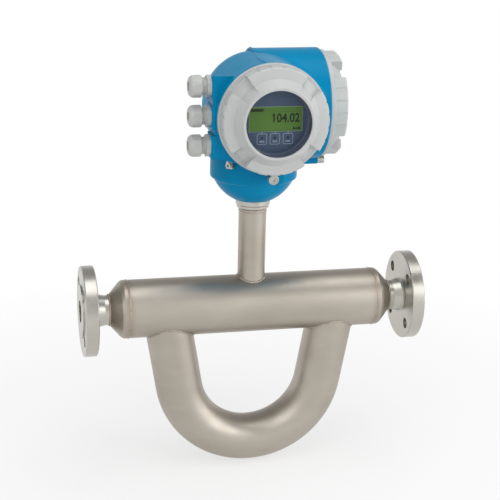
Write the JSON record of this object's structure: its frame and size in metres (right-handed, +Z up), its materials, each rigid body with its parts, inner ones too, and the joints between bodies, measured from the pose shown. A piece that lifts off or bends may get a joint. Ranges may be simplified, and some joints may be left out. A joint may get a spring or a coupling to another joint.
{
  "type": "coriolis flow meter",
  "caption": "Flanged U-loop mass flow meter with a swivelling transmitter, screwed covers, a round display window and side cable glands.",
  "frame": {"origin": "centre of the inlet flange's raised sealing face", "axes": "+X along the pipe from inlet to outlet, +Z up along the neck, the display faces -Y"},
  "size_m": [0.44, 0.194, 0.5472],
  "materials": {
    "flange_steel": "machined, fine turned lines",
    "casing_steel": "satin, bead blasted",
    "tube_steel": "drawn, satin",
    "copper_winding": "enamelled winding",
    "magnet_steel": "plated",
    "ceramic_white": "matt",
    "potting_green": "cast resin",
    "spring_steel": "phosphated",
    "housing_blue": "powder coat, semi-gloss",
    "cover_grey": "powder coat, satin",
    "gland_grey": "satin",
    "fastener_steel": "turned",
    "module_black": "satin",
    "terminal_green": "satin",
    "display_case_dark": "satin",
    "display_panel_blue": "printed foil, smooth",
    "lcd_green": "backlit liquid crystal",
    "window_glass": "clear",
    "seal_rubber": "matt",
    "retainer_dark": "blackened"
  },
  "bodies": {
    "sensor": {"inlet_flange": "flange_steel", "outlet_flange": "flange_steel", "inlet_reducer": "casing_steel", "outlet_reducer": "casing_steel", "main_casing": "casing_steel", "loop_casing": "casing_steel", "neck_tube": "casing_steel", "neck_collar": "flange_steel", "inlet_splitter": "flange_steel", "outlet_splitter": "flange_steel", "measuring_tube_front": "tube_steel", "measuring_tube_rear": "tube_steel", "brace_plates": "tube_steel", "drive_coil": "copper_winding", "drive_magnet": "magnet_steel", "pickoff_coils": "copper_winding", "pickoff_magnets": "magnet_steel", "temperature_sensor": "ceramic_white", "neck_feedthrough": "potting_green", "swivel_ring": "spring_steel"},
    "transmitter": {"transmitter_housing": "housing_blue", "swivel_lock_screw": "fastener_steel", "electronics_module": "module_black", "terminal_block": "terminal_green", "display_holder": "module_black", "front_clamp": "fastener_steel", "front_clamp_screw": "fastener_steel", "side_clamp": "fastener_steel", "side_clamp_screw": "fastener_steel", "ground_terminal": "fastener_steel", "ground_screw": "fastener_steel", "gland_body_top": "gland_grey", "gland_body_middle": "gland_grey", "gland_body_bottom": "gland_grey", "gland_seal_top": "seal_rubber", "gland_seal_middle": "seal_rubber", "gland_seal_bottom": "seal_rubber"},
    "display_module": {"display_case": "display_case_dark", "display_panel": "display_panel_blue", "lcd": "lcd_green"},
    "display_cover": {"display_cover": "cover_grey", "window_glass": "window_glass", "window_gasket": "seal_rubber", "window_retainer": "retainer_dark", "display_cover_oring": "seal_rubber"},
    "side_cover": {"side_cover": "cover_grey", "side_cover_oring": "seal_rubber"},
    "gland_nut_top": {"gland_nut_top": "gland_grey"},
    "gland_nut_middle": {"gland_nut_middle": "gland_grey"},
    "gland_nut_bottom": {"gland_nut_bottom": "gland_grey"}
  },
  "joints": [
    {"name": "transmitter_swivel", "type": "hinge", "parent": "sensor", "child": "transmitter", "pos_m": [0.22, 0, 0.15], "axis": [0, 0, 1], "range_deg": [-175, 175]},
    {"name": "display_turn", "type": "hinge", "parent": "transmitter", "child": "display_module", "pos_m": [0.22, -0.095, 0.26], "axis": [0, -1, 0], "range_deg": [-180, 180]},
    {"name": "display_cover_off", "type": "slide", "parent": "transmitter", "child": "display_cover", "axis": [0, -1, 0], "range_m": [0, 0.07]},
    {"name": "side_cover_off", "type": "slide", "parent": "transmitter", "child": "side_cover", "axis": [1, 0, 0], "range_m": [0, 0.05]},
    {"name": "gland_nut_top_turn", "type": "hinge", "parent": "transmitter", "child": "gland_nut_top", "pos_m": [0.1318, -0.062, 0.295], "axis": [-1, 0, 0], "range_deg": [-90, 720]},
    {"name": "gland_nut_middle_turn", "type": "hinge", "parent": "transmitter", "child": "gland_nut_middle", "pos_m": [0.1318, -0.062, 0.2594], "axis": [-1, 0, 0], "range_deg": [-90, 720]},
    {"name": "gland_nut_bottom_turn", "type": "hinge", "parent": "transmitter", "child": "gland_nut_bottom", "pos_m": [0.1318, -0.062, 0.2238], "axis": [-1, 0, 0], "range_deg": [-90, 720]}
  ]
}
